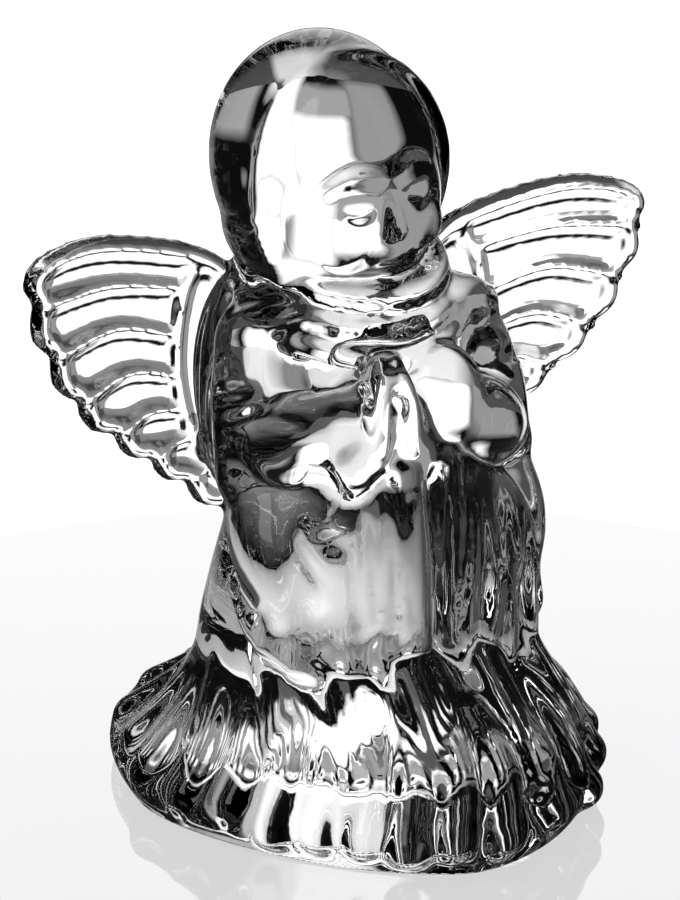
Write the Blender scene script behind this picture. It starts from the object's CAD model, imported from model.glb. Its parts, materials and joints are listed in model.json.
import json
import math

import bmesh
import bpy
import numpy as np
from mathutils import Matrix, Vector

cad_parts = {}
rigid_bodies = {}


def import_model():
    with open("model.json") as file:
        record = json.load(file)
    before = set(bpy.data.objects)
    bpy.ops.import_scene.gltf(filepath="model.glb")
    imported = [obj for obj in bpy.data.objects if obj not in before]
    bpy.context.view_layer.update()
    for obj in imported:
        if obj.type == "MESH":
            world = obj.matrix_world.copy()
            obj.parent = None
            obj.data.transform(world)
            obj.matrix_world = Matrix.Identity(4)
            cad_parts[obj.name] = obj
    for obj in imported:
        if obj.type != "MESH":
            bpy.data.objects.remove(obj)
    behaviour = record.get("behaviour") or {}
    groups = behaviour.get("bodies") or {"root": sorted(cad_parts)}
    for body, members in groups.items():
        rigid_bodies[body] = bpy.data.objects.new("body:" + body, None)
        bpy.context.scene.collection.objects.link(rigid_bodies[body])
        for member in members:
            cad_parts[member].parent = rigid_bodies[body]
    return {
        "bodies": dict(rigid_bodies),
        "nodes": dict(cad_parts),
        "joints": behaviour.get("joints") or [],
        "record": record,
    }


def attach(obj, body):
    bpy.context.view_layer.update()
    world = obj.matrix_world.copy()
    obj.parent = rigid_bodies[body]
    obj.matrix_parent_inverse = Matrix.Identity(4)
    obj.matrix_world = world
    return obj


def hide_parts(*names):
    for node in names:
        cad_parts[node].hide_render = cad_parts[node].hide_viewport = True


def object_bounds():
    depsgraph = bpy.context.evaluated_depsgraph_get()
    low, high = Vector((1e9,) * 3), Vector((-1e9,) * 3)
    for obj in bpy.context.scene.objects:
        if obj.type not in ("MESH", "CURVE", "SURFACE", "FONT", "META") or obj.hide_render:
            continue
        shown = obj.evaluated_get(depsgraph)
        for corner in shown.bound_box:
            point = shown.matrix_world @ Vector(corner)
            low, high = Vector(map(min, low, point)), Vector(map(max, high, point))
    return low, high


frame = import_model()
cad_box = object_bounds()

# The robe and its foot. The figurine is one gob of clear crystal, pressed hot in an iron
# mould and fire-polished, so every form runs softly into the next. It is modelled as the
# mould was: forms laid over each other in clay, then run together into one skin.
SHARE = (cad_box[1][2] - cad_box[0][2]) / 100
SIDES = (-1, 1)
clay = bmesh.new()


def at(point):
    """A place given in shares of the height, in metres."""
    return Vector(point) * SHARE


def mirrored(point, side):
    return (point[0] * side, point[1], point[2])


def smooth_line(points, steps=8):
    """A Catmull-Rom curve through the points, which may carry more than three numbers."""
    points = np.array(points, float)
    ends = np.vstack([2 * points[0] - points[1], points, 2 * points[-1] - points[-2]])
    line = []
    for before, start, end, after in zip(ends, ends[1:], ends[2:], ends[3:]):
        for t in np.arange(steps) / steps:
            line.append(
                0.5
                * (
                    2 * start
                    + (end - before) * t
                    + (2 * before - 5 * start + 4 * end - after) * t**2
                    + (3 * start - before - 3 * end + after) * t**3
                )
            )
    return np.array(line + [points[-1]])


def add_ball(clay, centre, half_sizes, frame=None):
    place = Matrix.Translation(at(centre)) @ Matrix.Diagonal((*at(half_sizes), 1))
    if frame is not None:
        place = frame @ place
    bmesh.ops.create_icosphere(clay, subdivisions=4, radius=1, matrix=place)


def add_roll(clay, points, radii, closed=False, frame=None, steps=10):
    """A round bar through the points, with round ends. Its radii are in shares."""
    if len(radii) != len(points):
        radii = np.interp(np.linspace(0, 1, len(points)), np.linspace(0, 1, len(radii)), radii)
    line = smooth_line([(*p, r) for p, r in zip(points, radii)], steps)
    if closed:
        line = line[:-1]
    curve = bpy.data.curves.new("roll", "CURVE")
    curve.dimensions = "3D"
    curve.bevel_depth = 1
    curve.bevel_resolution = 6
    curve.use_fill_caps = not closed
    spline = curve.splines.new("POLY")
    spline.use_cyclic_u = closed
    spline.points.add(len(line) - 1)
    for spot, (x, y, z, radius) in zip(spline.points, line):
        spot.co = (*at((x, y, z)), 1)
        spot.radius = radius * SHARE
    guide = bpy.data.objects.new("roll", curve)
    mesh = bpy.data.meshes.new_from_object(guide)
    if frame is not None:
        mesh.transform(frame)
    clay.from_mesh(mesh)
    bpy.data.objects.remove(guide)
    bpy.data.curves.remove(curve)
    bpy.data.meshes.remove(mesh)
    if not closed:
        for x, y, z, radius in (line[0], line[-1]):
            add_ball(clay, (x, y, z), (radius, radius, radius), frame)


# From the foot up: height, shift to +X, half width, reach to the front and to the back.
ROBE = (
    (-4.0, 0.2, 28.0, 33.0, 33.0),
    (0.0, 0.2, 30.6, 35.4, 36.4),
    (2.2, 0.2, 31.7, 36.4, 38.0),
    (4.2, 0.2, 31.6, 36.6, 36.8),
    (6.0, 0.4, 29.5, 35.4, 33.4),
    (9.0, 0.9, 27.0, 34.6, 28.0),
    (12.5, 1.2, 24.8, 32.8, 24.0),
    (17.0, 1.0, 22.2, 29.2, 22.2),
    (22.0, 0.5, 20.7, 24.6, 21.4),
    (28.0, 0.2, 19.0, 19.8, 19.8),
    (35.0, 0.0, 17.2, 15.0, 17.0),
    (42.0, 0.0, 15.8, 12.6, 14.2),
    (50.0, 0.0, 15.2, 11.4, 12.6),
    (57.0, 0.0, 14.8, 10.4, 11.8),
    (62.0, 0.0, 13.0, 9.2, 11.0),
    (67.0, 0.0, 8.5, 6.6, 9.6),
)
# How square the plan of the robe is: 2 is an ellipse, and less is more of a lozenge. The front
# is narrow at the foot, most of all on the side of -X, and evens out at the waist.
ROBE_SQUARENESS = 2.12
FOOT_FRONT_SQUARENESS = (1.5, 1.75)
WAIST_HEIGHT = 30.0
ROBE_SIDES = 96
ROBE_CURVE = smooth_line(ROBE, 6)


def robe_point(turn, height, proud=0.0):
    """A point on the robe. A turn of 0 is the front, and it grows towards +X."""
    sizes = [np.interp(height, ROBE_CURVE[:, 0], ROBE_CURVE[:, n]) for n in (1, 2, 3, 4)]
    shift, width, front, back = sizes
    across, along = math.sin(turn), -math.cos(turn)
    depth = back
    power = ROBE_SQUARENESS
    if along < 0:
        depth = front
        foot_power = FOOT_FRONT_SQUARENESS[across > 0]
        power = np.interp(height, (0, WAIST_HEIGHT), (foot_power, ROBE_SQUARENESS))
    size = (abs(across) ** power + abs(along) ** power) ** (-1 / power)
    return (
        shift + across * (size * width + proud),
        along * (size * depth + proud),
        height,
    )


def skin_rings(shape, rings):
    """Joins closed rings of points in order, and closes both ends."""
    edges = []
    for ring in rings:
        verts = [shape.verts.new(at(point)) for point in ring]
        edges.append([shape.edges.new(pair) for pair in zip(verts, verts[1:] + verts[:1])])
    for low, high in zip(edges, edges[1:]):
        bmesh.ops.bridge_loops(shape, edges=low + high)
    bmesh.ops.contextual_create(shape, geom=edges[0])
    bmesh.ops.contextual_create(shape, geom=edges[-1])


turns = [2 * math.pi * n / ROBE_SIDES for n in range(ROBE_SIDES)]
skin_rings(clay, [[robe_point(turn, height) for turn in turns] for height in ROBE_CURVE[:, 0]])

# The skirt falls from the waist in long folds that sweep round the figure, and its hem is
# fluted in tongues that lie over the low round edge of the foot. The back is plainer.
LONG_FOLDS = 13
TONGUES = 26
FOLD_SWEEP = 0.34
FOLD_RADIUS = 4.0
FOLD_FOOT = 10.0
TONGUE_RADIUS = 3.3
# How far the middle line of a fold lies inside the robe, as a share of the fold's radius, and
# how much less that is in front and more where the fold begins.
FOLD_DEPTH = 0.85
TONGUE_DEPTH = 0.6
FRONT_RISE = 0.45
BURIED_START = 0.6
FOLD_TOP = 33.0
TONGUE_TOP = 17.0
HEM_HEIGHT = 4.8


def add_fold(turn, top, foot, size, depth):
    """A fold that rises out of the robe on its way down, and more in front than behind."""
    path = []
    for s in np.linspace(0, 1, 8):
        height = top + (foot - top) * s
        swept = turn + FOLD_SWEEP * abs(math.sin(turn)) * (FOLD_TOP - height) / FOLD_TOP
        sunk = depth - FRONT_RISE * math.cos(swept) + BURIED_START * (1 - s) ** 2
        path.append(robe_point(swept, height, -sunk * size))
    add_roll(clay, path, (0.9 * size, size, size, 0.95 * size))


for n in range(LONG_FOLDS):
    turn = 2 * math.pi * (n + 0.5) / LONG_FOLDS
    top = FOLD_TOP - 3 * math.cos(turn)
    foot = FOLD_FOOT + 2 * math.sin(2.7 * n)
    add_fold(turn, top, foot, FOLD_RADIUS + 0.5 * math.sin(1.9 * n), FOLD_DEPTH)
for n in range(TONGUES):
    turn = 2 * math.pi * (n + 0.25) / TONGUES
    top = TONGUE_TOP + 2 * math.sin(3.1 * n)
    foot = HEM_HEIGHT + 0.5 * math.sin(2.3 * n)
    add_fold(turn, top, foot, TONGUE_RADIUS, TONGUE_DEPTH)

# The arms are bent to the front, and each wide sleeve hangs from its forearm in pleats that
# end in a rolled hem. The hollows behind them are filled, as they are in a pressed figure.
SHOULDER = (12.8, 0.0, 60.0)
UPPER_ARM = (14.4, -3.4, 53.0)
ELBOW = (15.4, -5.6, 45.2)
WRIST = (5.0, -16.4, 48.0)
ARM_RADII = (6.6, 7.0, 6.4)
FOREARM_RADII = (6.2, 5.8, 4.8)
FOREARMS = (
    ((-15.2, -5.4, 48.2), (-12.4, -10.8, 50.2), (-8.0, -14.2, 52.6)),
    ((15.2, -5.4, 47.0), (10.6, -11.6, 50.4), (3.6, -14.6, 52.8)),
)
LEFT_CUFF = ((4.4, -13.6, 53.6), (6.6, 5.8, 8.2))
INNER_FOLD = ((2.8, -18.6, 47.6), (2.6, -20.8, 38.0), (2.5, -21.8, 26.0))
OUTER_LOBE = ((14.2, -6.0, 45.0), (15.6, -9.6, 37.0), (14.2, -12.8, 30.0))
SLEEVE_HEM = (
    (19.8, -7.0, 31.0),
    (18.8, -12.0, 26.0),
    (14.5, -17.0, 23.2),
    (9.0, -20.6, 21.8),
    (3.2, -22.4, 22.4),
)
PLEATS = 6
PLEAT_RADIUS = 2.3
hem = smooth_line(SLEEVE_HEM, 5)
for side in SIDES:
    arm = [mirrored(p, side) for p in (SHOULDER, UPPER_ARM, ELBOW)]
    add_roll(clay, arm, ARM_RADII)
    add_ball(clay, mirrored((13.8, 4.2, 50.0), side), (5.4, 5.0, 12.0))
    add_roll(clay, [mirrored(p, side) for p in INNER_FOLD], (2.4, 2.2, 2.0))
    add_roll(clay, [mirrored(p, side) for p in OUTER_LOBE], (5.8, 6.2, 5.2))
    for n in range(PLEATS):
        s = 0.3 + 0.7 * n / (PLEATS - 1)
        start = Vector(ELBOW).lerp(Vector(WRIST), 0.94 * s)
        end = Vector(hem[round(s * (len(hem) - 1))])
        middle = (start + end) / 2 + Vector((0.9, -2.0, 0.6))
        radius = PLEAT_RADIUS + 0.4 * math.sin(2.3 * n)
        add_roll(clay, [mirrored(p, side) for p in (start, middle, end)], (2.2, radius, radius))
    add_roll(clay, [mirrored(p, side) for p in hem[::2]], (1.6, 2.0, 2.1, 2.0, 1.6))
    add_ball(clay, mirrored((10.0, -11.0, 34.0), side), (8.4, 9.4, 11.0))
for forearm in FOREARMS:
    add_roll(clay, forearm, FOREARM_RADII)
add_ball(clay, *LEFT_CUFF)
add_ball(clay, (0.0, -9.0, 49.0), (10.0, 7.6, 11.0))
add_ball(clay, (0.0, -11.0, 34.0), (9.0, 8.0, 13.0))
add_roll(clay, ((0.0, -15.6, 48.0), (0.0, -17.8, 36.0), (0.0, -19.0, 24.0)), (3.0,))

# The hands are laid palm to palm with the fingers up, small and round as a child's. They are
# joined a little to the figure's right, so that its left cuff shows in full.
HAND_DRIFT = Vector((-4.2, 0.4, 0.0))
FINGERS = 4
FINGER_STEP = 1.8
FINGERTIP = 61.2
for side in SIDES:
    palm = [mirrored(p, side) for p in (WRIST, (3.0, -17.6, 50.5), (2.2, -17.8, 54.0))]
    add_roll(clay, [Vector(p) + HAND_DRIFT for p in palm], (4.0, 3.6, 2.8))
    for n in range(FINGERS):
        y = -20.4 + FINGER_STEP * n
        tip = FINGERTIP - 1.0 * (n - 1.2) ** 2
        finger = ((2.5, y, 51.0), (1.9, y + 0.2, 56.5), (1.1, y + 0.8, tip))
        add_roll(clay, [Vector(mirrored(p, side)) + HAND_DRIFT for p in finger], (1.35, 1.3, 1.0))
    thumb = ((2.8, -14.4, 50.0), (2.3, -13.6, 54.0), (1.1, -14.0, 57.0))
    add_roll(clay, [Vector(mirrored(p, side)) + HAND_DRIFT for p in thumb], (1.6, 1.4, 1.2))

# The cowl lies round the neck in soft rolls, low in front and rising to the nape, and
# spreads into a short cape on each shoulder. Each roll is given by its height, half width,
# half depth, drop to the front and radius.
RING_POINTS = 24
CAPE = ((6.0, -7.6, 64.0), (11.5, -6.0, 64.6), (16.0, -2.0, 62.6))
CAPE_RADII = (2.6, 3.2, 3.0)
COWL = (
    (70.6, 10.8, 12.0, 3.4, 1.8),
    (67.6, 12.0, 13.4, 4.0, 1.5),
    (64.6, 13.4, 13.6, 4.4, 1.6),
)
ring_turns = [2 * math.pi * n / RING_POINTS for n in range(RING_POINTS)]
for height, wide, deep, drop, radius in COWL:
    ring = []
    for turn in ring_turns:
        y = -math.cos(turn)
        ring.append((wide * math.sin(turn) - 1.0, 0.4 + deep * y, height + drop * y))
    add_roll(clay, ring, (radius,), closed=True, steps=3)
for side in SIDES:
    add_roll(clay, [mirrored(p, side) for p in CAPE], CAPE_RADII)

# The hooded head, set a little to one side. The hood is a smooth egg with a rolled edge, and
# the face that fills it is calm, its eyes closed, in the low relief that a press mould gives.
HEAD_CENTRE = (-3.3, 2.2, 81.4)
HEAD_LEAN = math.radians(-8)
HEAD_TURN = math.radians(5)
HOOD_CENTRE = (0.0, 0.6, 0.6)
HOOD = (14.3, 15.1, 16.6)
HOOD_EDGE_WIDTH = 12.6
HOOD_EDGE_HEIGHT = 15.0
HOOD_EDGE_RADIUS = 1.7
FACE_CENTRE = (0.0, -3.4, -2.4)
FACE = (12.4, 12.4, 13.2)
EYE_LINE = -1.6
NOSE_END = -5.4
MOUTH_LINE = -8.4
NOSE_RELIEF = 0.9
LID_RELIEF = 0.12
head_frame = Matrix.Translation(at(HEAD_CENTRE))
head_frame = head_frame @ Matrix.Rotation(HEAD_TURN, 4, "Z") @ Matrix.Rotation(HEAD_LEAN, 4, "Y")


def on_face(x, z, proud=0.0):
    """A point on the face, in the head's own frame."""
    inside = 1 - ((x - FACE_CENTRE[0]) / FACE[0]) ** 2 - ((z - FACE_CENTRE[2]) / FACE[2]) ** 2
    return (x, FACE_CENTRE[1] - FACE[1] * math.sqrt(inside) - proud, z)


add_ball(clay, HOOD_CENTRE, HOOD, head_frame)
add_ball(clay, (0, 0.8, -5.8), (13.8, 14.0, 11.2), head_frame)
add_ball(clay, FACE_CENTRE, FACE, head_frame)
nose = [on_face(0, EYE_LINE, LID_RELIEF)]
nose += [on_face(0, NOSE_END + up, NOSE_RELIEF) for up in (1.2, 0)]
add_roll(clay, nose, (0.8, 1.1, 1.3), frame=head_frame)
lips = [on_face(x, MOUTH_LINE - 0.15 * abs(x), LID_RELIEF) for x in (-2.0, 0, 2.0)]
add_roll(clay, lips, (0.5, 0.8, 0.5), frame=head_frame)
add_ball(clay, on_face(0, MOUTH_LINE - 3.2, -2.0), (3.0, 2.6, 2.4), head_frame)
for side in SIDES:
    add_ball(clay, on_face(5.0 * side, NOSE_END - 0.8, -3.2), (4.0, 3.8, 4.0), head_frame)
    lid_dip = ((2.8, 0), (4.4, 0.5), (6.0, 0))
    lid = [on_face(side * x, EYE_LINE - drop, LID_RELIEF) for x, drop in lid_dip]
    add_roll(clay, lid, (0.5, 0.8, 0.5), frame=head_frame)
    brow = [on_face(side * x, EYE_LINE + up, -0.3) for x, up in ((1.4, 2.9), (4.0, 3.7), (7.0, 2.7))]
    add_roll(clay, brow, (0.9, 1.0, 0.7), frame=head_frame)
hood_edge = []
for turn in ring_turns:
    y = -5.0 - 2.2 * math.cos(turn) + 1.2 * math.cos(2 * turn)
    hood_edge.append((HOOD_EDGE_WIDTH * math.sin(turn), y, HOOD_EDGE_HEIGHT * math.cos(turn) - 0.6))
add_roll(clay, hood_edge, (HOOD_EDGE_RADIUS,), closed=True, frame=head_frame, steps=3)
# The hood's fall at the nape, the neck, and the cloth gathered under the chin.
add_ball(clay, (0, 8.5, 70.5), (12.5, 8.5, 10.0))
add_ball(clay, (-0.6, 1.5, 68.0), (12.5, 9.5, 7.0))
add_ball(clay, (-1.0, -5.0, 66.5), (9.5, 7.5, 4.5))

# The wings are thin sheets of glass with a thick scalloped rim and a rib up each feather.
# They spring from the shoulder blades and curve forward to their tips. Each is laid out
# flat, a place being out from the middle and up, and is bent and set on the back after.
WING_WALL = 0.0014
WING_RIM = 0.0034
RIB_WIDTH = 0.0027
RIB_DEPTH = 1.5
RIDGE_SIDES = 12
RIDGE_POWER = 1.15
# How far the rim's middle line lies inside the wing's edge, in half widths of the rim.
RIM_INSET = 0.92
# A rib's width from its notch to its root, and that of the ridge where the coverts end.
RIB_TAPER = (1.45, 1.15, 0.95)
COVERTS_SWELL = (0.9, 1.2, 1.0, 1.2, 0.9)
SHEET_STRIP = 1.5
WING_Y = 9.0
WING_SWEEP = -6.4
WING_ROOT = 10.0
WING_TIP = 43.0
WING_ROLL = math.radians(-1.2)
LEADING_EDGE = (
    (9.2, 65.4),
    (16.8, 71.2),
    (24.2, 73.8),
    (32.4, 75.4),
    (38.4, 75.1),
    (42.4, 73.5),
    (43.6, 70.9),
    (42.2, 68.4),
)
# The notches between the feathers, from the tip down to the robe, and where their ribs end.
NOTCHES = (
    (42.2, 68.4),
    (40.0, 61.6),
    (36.4, 55.0),
    (31.2, 49.6),
    (26.0, 45.2),
    (21.0, 41.2),
    (15.9, 36.6),
)
RIB_ROOTS = ((20.6, 66.8), (21.4, 60.6), (21.8, 55.4), (21.4, 50.8), (20.0, 46.8), (17.6, 42.6))
RIB_BOWS = (0.06, 0.12, 0.14, 0.14, 0.12, 0.10)
COVERTS = ((17.0, 70.6), (20.4, 66.8), (21.8, 60.0), (21.6, 53.0), (19.6, 46.0), (15.6, 38.6))
FEATHER_BULGE = 0.24
# The corner of the sheet that lies inside the robe.
SHEET_CORNER = (9.0, 37.0)


def wing_outline(inset):
    """The wing's edge, from the root over the tip to the robe, moved inwards."""
    edge = [tuple(p) for p in smooth_line(LEADING_EDGE, 8)]
    for start, end in zip(NOTCHES, NOTCHES[1:]):
        start = Vector(start)
        end = Vector(end)
        chord = end - start
        out = Vector((-chord.y, chord.x)).normalized()
        for s in np.linspace(0, 1, 13)[1:]:
            bulge = FEATHER_BULGE * chord.length * math.sin(math.pi * s) ** 0.8
            edge.append(tuple(start + chord * s + out * bulge))
    edge = np.array(edge)
    along = np.gradient(edge, axis=0)
    inwards = np.stack((along[:, 1], -along[:, 0]), 1) / np.linalg.norm(along, axis=1)[:, None]
    return [tuple(p) for p in edge + inset * inwards]


def join_to(whole, part):
    """Moves a part's mesh into the whole."""
    mesh = bpy.data.meshes.new("part")
    part.to_mesh(mesh)
    part.free()
    whole.from_mesh(mesh)
    bpy.data.meshes.remove(mesh)


def add_ridge(wing, path, radii):
    """A bar along a line in the flat wing: a ridge in front, and flush with the sheet behind."""
    path = np.array(path, float)
    radii = np.interp(np.linspace(0, 1, len(path)), np.linspace(0, 1, len(radii)), radii)
    along = np.gradient(path, axis=0)
    across = np.stack((-along[:, 1], along[:, 0]), 1) / np.linalg.norm(along, axis=1)[:, None]
    rings = []
    for spot, normal, radius in zip(path, across, radii):
        ring = []
        for n in range(RIDGE_SIDES):
            angle = 2 * math.pi * n / RIDGE_SIDES
            wide, deep = math.cos(angle), math.sin(angle)
            size = radius * (abs(wide) ** RIDGE_POWER + abs(deep) ** RIDGE_POWER) ** (-1 / RIDGE_POWER)
            out, up = spot + normal * size * wide
            ring.append((out, min(RIB_DEPTH * size * deep, WING_WALL / SHARE / 2), up))
        rings.append(ring)
    skin_rings(wing, rings)


def add_sheet(wing, edge):
    """The thin sheet inside the rim, cut in strips so that it can be bent."""
    sheet = bmesh.new()
    sheet.faces.new([sheet.verts.new(at((out, 0, up))) for out, up in edge])
    for out in np.arange(WING_ROOT + 1, WING_TIP, SHEET_STRIP):
        parts = sheet.verts[:] + sheet.edges[:] + sheet.faces[:]
        bmesh.ops.bisect_plane(sheet, geom=parts, plane_co=at((out, 0, 0)), plane_no=(1, 0, 0))
    grown = bmesh.ops.extrude_face_region(sheet, geom=sheet.faces[:], use_keep_orig=True)
    moved = [v for v in grown["geom"] if isinstance(v, bmesh.types.BMVert)]
    bmesh.ops.translate(sheet, verts=moved, vec=(0, WING_WALL, 0))
    bmesh.ops.translate(sheet, verts=sheet.verts, vec=(0, -WING_WALL / 2, 0))
    join_to(wing, sheet)


rim = WING_RIM / SHARE / 2
rib = RIB_WIDTH / SHARE / 2
outline = wing_outline(RIM_INSET * rim)
for side in SIDES:
    wing = bmesh.new()
    add_ridge(wing, outline, (rim,))
    for notch, root, bow in zip(NOTCHES, RIB_ROOTS, RIB_BOWS):
        middle = ((notch[0] + root[0]) / 2, (notch[1] + root[1]) / 2 + bow * (notch[0] - root[0]))
        add_ridge(wing, smooth_line((notch, middle, root)), [rib * share for share in RIB_TAPER])
    add_ridge(wing, smooth_line(COVERTS), [rib * share for share in COVERTS_SWELL])
    add_sheet(wing, outline + [SHEET_CORNER])
    for vert in wing.verts:
        reach = (vert.co.x / SHARE - WING_ROOT) / (WING_TIP - WING_ROOT)
        vert.co.y += (WING_Y + WING_SWEEP * reach**2) * SHARE
        vert.co.x *= side
    roll = Matrix.Rotation(WING_ROLL, 4, "Y")
    bmesh.ops.rotate(wing, verts=wing.verts, cent=at((0, WING_Y, 55)), matrix=roll)
    join_to(clay, wing)
    add_ball(clay, mirrored((10.5, WING_Y, 54.0), side), (8.4, 3.0, 15.5))

# The casting. The forms run together into one skin, the fire polish melts down the ridges
# between them, and the foot is ground flat. The polish eases each corner in and partly back
# out, so that the whole doesn't shrink, and the melt only eases it in.
GRAIN = 0.00055
EASE_IN = 0.6
EASE_OUT = -0.52
POLISH_ROUNDS = 14
MELT_ROUNDS = 2
# The thin wings cool first and stay crisper: how many rounds they get, and where they begin.
WING_ROUNDS = 4
WING_SIDE = 19.0
WING_FOOT = 35.0
WING_BLEND = 3.0
rough = bpy.data.meshes.new("clay")
bmesh.ops.recalc_face_normals(clay, faces=clay.faces)
clay.to_mesh(rough)
clay.free()
lump = bpy.data.objects.new("clay", rough)
bpy.context.scene.collection.objects.link(lump)
skin = lump.modifiers.new("skin", "REMESH")
skin.mode = "VOXEL"
skin.voxel_size = GRAIN
graph = bpy.context.evaluated_depsgraph_get()
mesh = bpy.data.meshes.new_from_object(lump.evaluated_get(graph))
bpy.data.objects.remove(lump)
bpy.data.meshes.remove(rough)

corners = np.empty(len(mesh.vertices) * 3)
mesh.vertices.foreach_get("co", corners)
corners = corners.reshape(-1, 3)
edges = np.empty(len(mesh.edges) * 2, int)
mesh.edges.foreach_get("vertices", edges)
edges = edges.reshape(-1, 2)
neighbours = np.bincount(edges.ravel(), minlength=len(corners))[:, None]


def eased(corners, amount):
    """Moves each corner a part of the way to the middle of its neighbours."""
    total = np.zeros_like(corners)
    for axis in range(3):
        total[:, axis] = np.bincount(edges[:, 0], corners[edges[:, 1], axis], len(corners))
        total[:, axis] += np.bincount(edges[:, 1], corners[edges[:, 0], axis], len(corners))
    return corners + amount * (total / neighbours - corners)


on_wing = np.clip((abs(corners[:, 0]) / SHARE - WING_SIDE) / WING_BLEND, 0, 1)
on_wing *= np.clip((corners[:, 2] / SHARE - WING_FOOT) / WING_BLEND, 0, 1)
for n in range(POLISH_ROUNDS):
    corners = eased(corners, EASE_IN)
    corners = eased(corners, EASE_OUT)
    if n + 1 == WING_ROUNDS:
        crisp = corners
for _ in range(MELT_ROUNDS):
    corners = eased(corners, EASE_IN)
corners += on_wing[:, None] * (crisp - corners)

mesh.vertices.foreach_set("co", corners.astype(np.float32).ravel())
mesh.update()

# The mould's carving: the strokes that the forms alone don't have. Each one is cut into the
# skin or raised on it along a line, deep in the middle and running out to nothing at its ends.
# It is given by its line, its width and its depth, which is below 0 where it is raised.
CARVING_EASE = 0.5
CARVING = (
    # The mouth of the right sleeve, under the forearm.
    (((-13.8, -17.0, 48.5), (-12.8, -16.5, 44.6), (-12.4, -18.4, 40.0)), 2.6, 2.8),
    # A deep fold on each side of the right sleeve's smooth lobe.
    (((-16.9, -16.0, 40.5), (-16.0, -17.8, 37.5), (-14.2, -19.8, 34.0)), 1.1, 1.0),
    (((-9.5, -19.0, 43.5), (-10.8, -21.7, 35.5), (-11.4, -22.4, 30.5)), 0.9, 0.7),
    # The grooves between the pleats of both sleeves.
    (((-7.8, -19.8, 45.0), (-8.4, -22.4, 37.2), (-8.4, -23.7, 28.0)), 0.8, 0.9),
    (((-5.0, -21.1, 46.0), (-5.6, -23.0, 38.3), (-5.8, -24.1, 28.0)), 0.8, 1.0),
    (((-3.1, -22.2, 47.0), (-3.9, -23.9, 37.0), (-3.4, -24.6, 27.0)), 0.7, 0.8),
    (((8.6, -19.9, 44.0), (7.1, -23.2, 36.4), (5.9, -24.2, 27.0)), 0.9, 1.1),
    (((16.2, -18.0, 41.0), (15.9, -19.0, 33.3), (13.8, -20.7, 26.3)), 1.2, 1.1),
    (((12.0, -18.4, 43.0), (10.8, -21.9, 35.4), (8.5, -23.9, 26.0)), 1.1, -0.8),
    # Creases over the right elbow and under the cape.
    (((-21.0, -3.2, 55.2), (-19.0, -8.4, 57.0), (-15.0, -12.6, 56.8)), 0.9, 0.7),
    (((-21.0, -6.8, 52.4), (-17.9, -10.7, 54.2), (-14.6, -14.6, 53.8)), 0.9, 0.7),
    (((20.4, -2.4, 55.4), (18.4, -8.0, 57.0), (14.4, -12.0, 57.0)), 0.9, 0.7),
    # Dimples in the hem of the right sleeve and between the fingers.
    (((-9.3, -23.1, 27.0), (-8.2, -23.8, 29.6)), 0.8, 0.7),
    (((-5.1, -24.3, 25.4), (-4.2, -24.6, 28.0)), 0.8, 0.7),
    (((-8.2, -16.4, 58.0), (-7.6, -17.4, 57.4)), 0.5, 0.6),
    (((-8.4, -17.4, 55.6), (-7.8, -18.4, 55.0)), 0.5, 0.6),
    (((-3.8, -19.7, 57.2), (-3.4, -19.9, 55.4)), 0.9, 0.9),
)
normals = np.empty(len(corners) * 3)
mesh.vertices.foreach_get("normal", normals)
normals = normals.reshape(-1, 3)
for path, width, depth in CARVING:
    line = smooth_line(path, 8) * SHARE
    apart = np.linalg.norm(corners[:, None] - line[None], axis=2)
    nearest = apart.min(1)
    along = np.sin(np.pi * (apart.argmin(1) + 1) / (len(line) + 1)) ** 0.6
    cut = depth * along * np.exp(-((nearest / (width * SHARE)) ** 2))
    corners -= normals * (cut * SHARE)[:, None]
for _ in range(MELT_ROUNDS):
    corners = eased(corners, CARVING_EASE)

mesh.vertices.foreach_set("co", corners.astype(np.float32).ravel())
mesh.update()
shape = bmesh.new()
shape.from_mesh(mesh)
cut = bmesh.ops.bisect_plane(
    shape,
    geom=shape.verts[:] + shape.edges[:] + shape.faces[:],
    plane_co=(0, 0, 0),
    plane_no=(0, 0, -1),
    clear_outer=True,
)
foot_rim = [e for e in cut["geom_cut"] if isinstance(e, bmesh.types.BMEdge)]
bmesh.ops.edgeloop_fill(shape, edges=foot_rim)
bmesh.ops.triangulate(shape, faces=shape.faces)
# The figure is brought to the exact size of the solid that it stands for.
spots = np.array([v.co for v in shape.verts])
low, high = spots.min(0), spots.max(0)
cad_low, cad_high = np.array(cad_box[0]), np.array(cad_box[1])
fit = (cad_high - cad_low) / (high - low)
spots = cad_low + (spots - low) * fit
for vert, spot in zip(shape.verts, spots):
    vert.co = spot
shape.to_mesh(mesh)
shape.free()
mesh.name = "angel_crystal"
mesh.shade_smooth()
angel = bpy.data.objects.new("angel_crystal", mesh)
bpy.context.scene.collection.objects.link(angel)

# The glass: water-clear lead crystal with a fire-polished surface, smooth but never quite
# even, with a faint waviness and a breath of haze here and there.
GLASS_TINT = (0.985, 0.99, 0.99, 1)
GLASS_IOR = 1.54
HAZE_SCALE = 60
HAZE_FROM = 0.45
HAZE_FULL = 0.75
MOST_HAZE = 0.035
WAVE_SCALE = 110
WAVE_STRENGTH = 0.3
WAVE_HEIGHT = 0.0003
crystal = bpy.data.materials.new("clear_crystal")
crystal.use_nodes = True
nodes = crystal.node_tree.nodes
links = crystal.node_tree.links
shader = nodes["Principled BSDF"]
shader.inputs["Base Color"].default_value = GLASS_TINT
shader.inputs["IOR"].default_value = GLASS_IOR
shader.inputs["Transmission Weight"].default_value = 1.0
place = nodes.new("ShaderNodeTexCoord")
haze = nodes.new("ShaderNodeTexNoise")
haze.inputs["Scale"].default_value = HAZE_SCALE
haze.inputs["Detail"].default_value = 3
links.new(place.outputs["Object"], haze.inputs["Vector"])
haze_range = nodes.new("ShaderNodeMapRange")
haze_range.inputs["From Min"].default_value = HAZE_FROM
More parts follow.
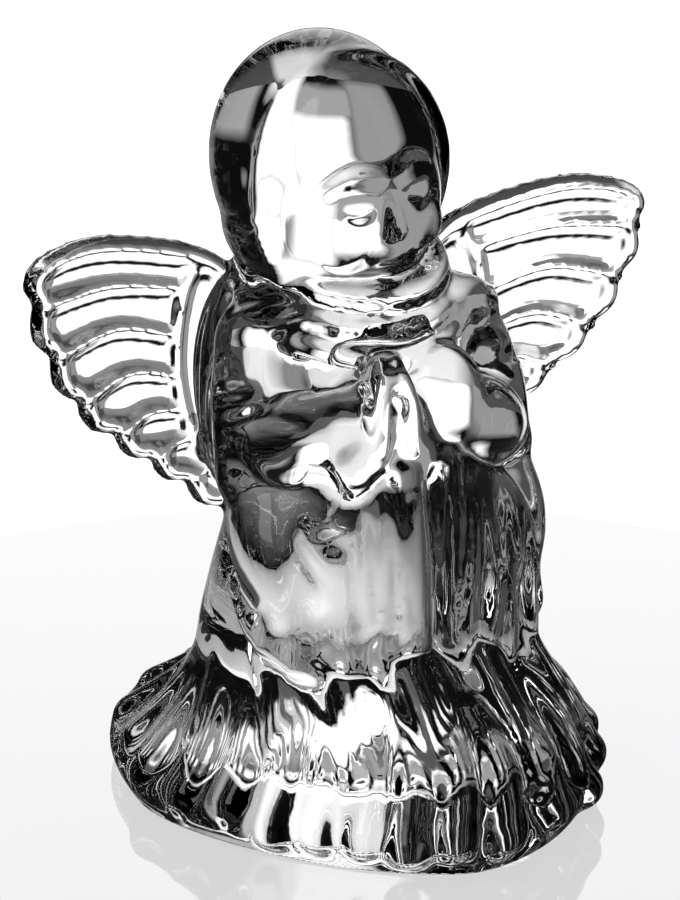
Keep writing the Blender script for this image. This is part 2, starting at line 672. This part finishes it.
haze_range.inputs["From Max"].default_value = HAZE_FULL
haze_range.inputs["To Min"].default_value = 0.0
haze_range.inputs["To Max"].default_value = MOST_HAZE
links.new(haze.outputs["Fac"], haze_range.inputs["Value"])
links.new(haze_range.outputs["Result"], shader.inputs["Roughness"])
wave = nodes.new("ShaderNodeTexNoise")
wave.inputs["Scale"].default_value = WAVE_SCALE
wave.inputs["Detail"].default_value = 1.5
links.new(place.outputs["Object"], wave.inputs["Vector"])
bump = nodes.new("ShaderNodeBump")
bump.inputs["Strength"].default_value = WAVE_STRENGTH
bump.inputs["Distance"].default_value = WAVE_HEIGHT
links.new(wave.outputs["Fac"], bump.inputs["Height"])
links.new(bump.outputs["Normal"], shader.inputs["Normal"])
mesh.materials.clear()
mesh.materials.append(crystal)
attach(angel, "root")
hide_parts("angel")

# The floor is a round sheet of glossy white acrylic, lit from below. What the glass draws in
# is bright only where a card lies on the floor behind the figurine, and fades towards its
# front and left. The card's edges are in metres ahead of the middle and to the right of it.
AZIMUTH = math.radians(-25)
ELEVATION = math.radians(18)
FLOOR_RADIUS = 0.11
FLOOR_DROP = 0.0002
ACRYLIC_TINT = (0.05, 0.05, 0.05, 1)
ACRYLIC_ROUGHNESS = 0.03
ACRYLIC_IOR = 1.9
FLOOR_GLOW = 0.64
CARD_GLOW = 0.75
DIM_GLOW = 0.05
DIM_START = 0.02
DIM_FULL = 0.06
CARD_FRONT = 0.004
CARD_BACK = 0.062
CARD_LEFT = -0.016
CARD_RIGHT = 0.004
CARD_EDGE = 0.027
CARD_FADE = 0.006
floor_shape = bmesh.new()
bmesh.ops.create_circle(floor_shape, cap_ends=True, segments=96, radius=FLOOR_RADIUS)
floor_mesh = bpy.data.meshes.new("floor")
floor_shape.to_mesh(floor_mesh)
floor_shape.free()
floor = bpy.data.objects.new("floor", floor_mesh)
floor.location.z = -FLOOR_DROP
bpy.context.scene.collection.objects.link(floor)
acrylic = bpy.data.materials.new("white_acrylic")
acrylic.use_nodes = True
nodes = acrylic.node_tree.nodes
links = acrylic.node_tree.links
acrylic_shader = nodes["Principled BSDF"]
acrylic_shader.inputs["Base Color"].default_value = ACRYLIC_TINT
acrylic_shader.inputs["Roughness"].default_value = ACRYLIC_ROUGHNESS
acrylic_shader.inputs["IOR"].default_value = ACRYLIC_IOR
acrylic_shader.inputs["Emission Color"].default_value = (1, 1, 1, 1)


def math_node(operation, *values, clamp=False):
    node = nodes.new("ShaderNodeMath")
    node.operation = operation
    node.use_clamp = clamp
    for socket, value in zip(node.inputs, values):
        if isinstance(value, (int, float)):
            socket.default_value = value
        else:
            links.new(value, socket)
    return node.outputs[0]


def seen_from_camera(vector):
    """The vector's parts to the right of the camera's line, along it and up."""
    split = nodes.new("ShaderNodeSeparateXYZ")
    links.new(vector, split.inputs["Vector"])
    x, y = split.outputs["X"], split.outputs["Y"]
    sine, cosine = math.sin(AZIMUTH), math.cos(AZIMUTH)
    right = math_node("ADD", math_node("MULTIPLY", x, cosine), math_node("MULTIPLY", y, sine))
    ahead = math_node("ADD", math_node("MULTIPLY", x, -sine), math_node("MULTIPLY", y, cosine))
    return right, ahead, split.outputs["Z"]


def ramp(value, start, end):
    return math_node("DIVIDE", math_node("SUBTRACT", value, start), end - start, clamp=True)


where = nodes.new("ShaderNodeTexCoord")
right, ahead, _ = seen_from_camera(where.outputs["Object"])
card = math_node("MULTIPLY", ramp(ahead, CARD_FRONT, CARD_BACK), ramp(right, CARD_LEFT, CARD_RIGHT))
card = math_node("MULTIPLY", card, ramp(right, CARD_EDGE + CARD_FADE, CARD_EDGE))
card = math_node("MULTIPLY", card, CARD_GLOW)
dim = math_node("MULTIPLY", ramp(ahead, DIM_START, DIM_FULL), DIM_GLOW)
card = math_node("MAXIMUM", card, dim)
ray = nodes.new("ShaderNodeLightPath")
seen = math_node("MULTIPLY", ray.outputs["Is Camera Ray"], FLOOR_GLOW)
glow = math_node("MAXIMUM", card, seen)
links.new(glow, acrylic_shader.inputs["Emission Strength"])
floor_mesh.materials.append(acrylic)

# The light is a studio set for glass: a white sweep behind the figurine, a tall softbox in
# front of it on the left, grey walls, and black card between them, which draws the dark lines
# in the glass. A panel is given by its left and right edges, in degrees right of the camera's
# line of sight, its lowest and highest edges, in degrees up, its blur and its brightness.
world = bpy.data.worlds.new("studio")
bpy.context.scene.world = world
world.use_nodes = True
nodes = world.node_tree.nodes
links = world.node_tree.links
background = nodes["Background"]
PANELS = (
    (7, 24, -46, -5, 5, 1.4),
    (-11, 9, -27, -9, 4, 1.4),
    (-14, 9, -38, -26, 4, 0.4),
    (10, 30, -7, 12, 5, 1.2),
    (4, 26, 10, 40, 8, 0.6),
    (31, 66, -85, -20, 6, 0.42),
    (-36, -12, -42, -4, 6, 0.34),
    (-168, -138, 18, 62, 4, 2.0),
    (100, 120, 5, 60, 6, 0.25),
)
# This one shows only where it is mirrored, and keeps the floor white.
MIRRORED_PANELS = (
    (-16, 16, 2, 46, 6, 1.3),
)
AMBIENT = 0.004


def band(value, low, high, blur):
    """1 between low and high, and 0 outside, with soft ends."""
    rise = ramp(value, low - blur / 2, low + blur / 2)
    return math_node("MULTIPLY", rise, ramp(value, high + blur / 2, high - blur / 2))


direction = nodes.new("ShaderNodeTexCoord")
right, ahead, up = seen_from_camera(direction.outputs["Generated"])
side_angle = math_node("MULTIPLY", math_node("ARCTAN2", right, ahead), 180 / math.pi)
up_angle = math_node("MULTIPLY", math_node("ARCSINE", up), 180 / math.pi)


def panel_light(left, rightmost, lowest, highest, blur, strength):
    panel = band(side_angle, left, rightmost, blur)
    panel = math_node("MULTIPLY", panel, band(up_angle, lowest, highest, blur))
    return math_node("MULTIPLY", panel, strength)


ray = nodes.new("ShaderNodeLightPath")
light = math_node("MAXIMUM", AMBIENT, ray.outputs["Is Camera Ray"])
for panel in PANELS:
    light = math_node("MAXIMUM", light, panel_light(*panel))
for panel in MIRRORED_PANELS:
    mirrored_light = math_node("MULTIPLY", panel_light(*panel), ray.outputs["Is Glossy Ray"])
    light = math_node("MAXIMUM", light, mirrored_light)
links.new(light, background.inputs["Strength"])
background.inputs["Color"].default_value = (1, 1, 1, 1)

# A soft lamp overhead lights the floor alone, and isn't drawn in the glass.
KEY_PLACE = Vector((-0.2, 0.1, 0.9))
KEY_SIZE = 0.5
KEY_WATTS = 6
key = bpy.data.lights.new("key", "AREA")
key.size = KEY_SIZE
key.energy = KEY_WATTS
key_object = bpy.data.objects.new("key", key)
key_object.location = KEY_PLACE
key_object.rotation_euler = KEY_PLACE.to_track_quat("Z", "Y").to_euler()
key_object.visible_transmission = False
key_object.visible_glossy = False
bpy.context.scene.collection.objects.link(key_object)

# The camera looks down a little from the figurine's right, through a long lens.
DISTANCE = 0.40
LENS = 122.4
SENSOR = 36
AIM = Vector((-0.00185, 0.0009, 0.0452))
level = math.cos(ELEVATION)
back = Vector((math.sin(AZIMUTH) * level, -math.cos(AZIMUTH) * level, math.sin(ELEVATION)))
lens = bpy.data.cameras.new("camera")
lens.lens = LENS
lens.sensor_width = SENSOR
lens.clip_start = 0.01
camera = bpy.data.objects.new("camera", lens)
camera.location = AIM + back * DISTANCE
camera.rotation_euler = back.to_track_quat("Z", "Y").to_euler()
bpy.context.scene.collection.objects.link(camera)
bpy.context.scene.camera = camera

scene = bpy.context.scene
scene.view_settings.view_transform = "Standard"
